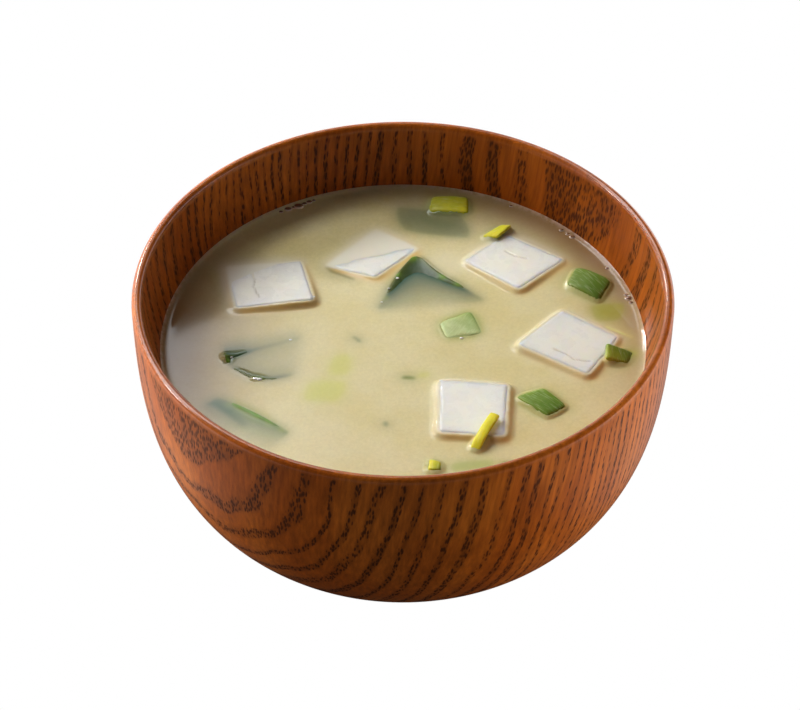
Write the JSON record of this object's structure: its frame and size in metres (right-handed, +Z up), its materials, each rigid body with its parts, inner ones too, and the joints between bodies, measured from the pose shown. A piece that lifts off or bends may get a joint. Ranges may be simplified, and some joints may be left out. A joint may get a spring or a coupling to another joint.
{
  "type": "miso soup in a wooden bowl",
  "caption": "Cloudy miso soup with tofu blocks, wakame and cut spring onion afloat, in a round turned wooden soup bowl with a foot ring.",
  "frame": {"origin": "centre of the foot ring's underside, on the bowl's axis", "axes": "+Z up along the bowl's axis, -Y towards the seen front side, +X to the right seen from the front"},
  "size_m": [0.116, 0.116, 0.066],
  "materials": {
    "wood": "orange-brown ring-porous wood with dark pore lines, under a semi-gloss clear lacquer",
    "broth": "cloudy cream-tan broth, wet and glossy, opaque within a few millimetres",
    "tofu": "soft white tofu, wet, with low relief and fine cracks",
    "wakame": "dark green seaweed, wet and glossy",
    "onion_green": "green spring onion leaf, wet, with fine ribs",
    "onion_yellow": "yellow-green spring onion from nearer the bulb, wet, with fine ribs"
  },
  "bodies": {
    "root": {"bowl": "wood", "soup": "broth", "tofu_left": "tofu", "tofu_back": "tofu", "tofu_back_right": "tofu", "tofu_right": "tofu", "tofu_front": "tofu", "wakame_centre": "wakame", "wakame_left": "wakame", "wakame_front_left": "wakame", "onion_ring": "onion_green", "onion_right": "onion_green", "onion_leaf": "onion_green", "onion_pale": "onion_green", "onion_back": "onion_yellow", "onion_yellow": "onion_yellow", "onion_front": "onion_yellow", "onion_strip": "onion_yellow"}
  },
  "joints": []
}
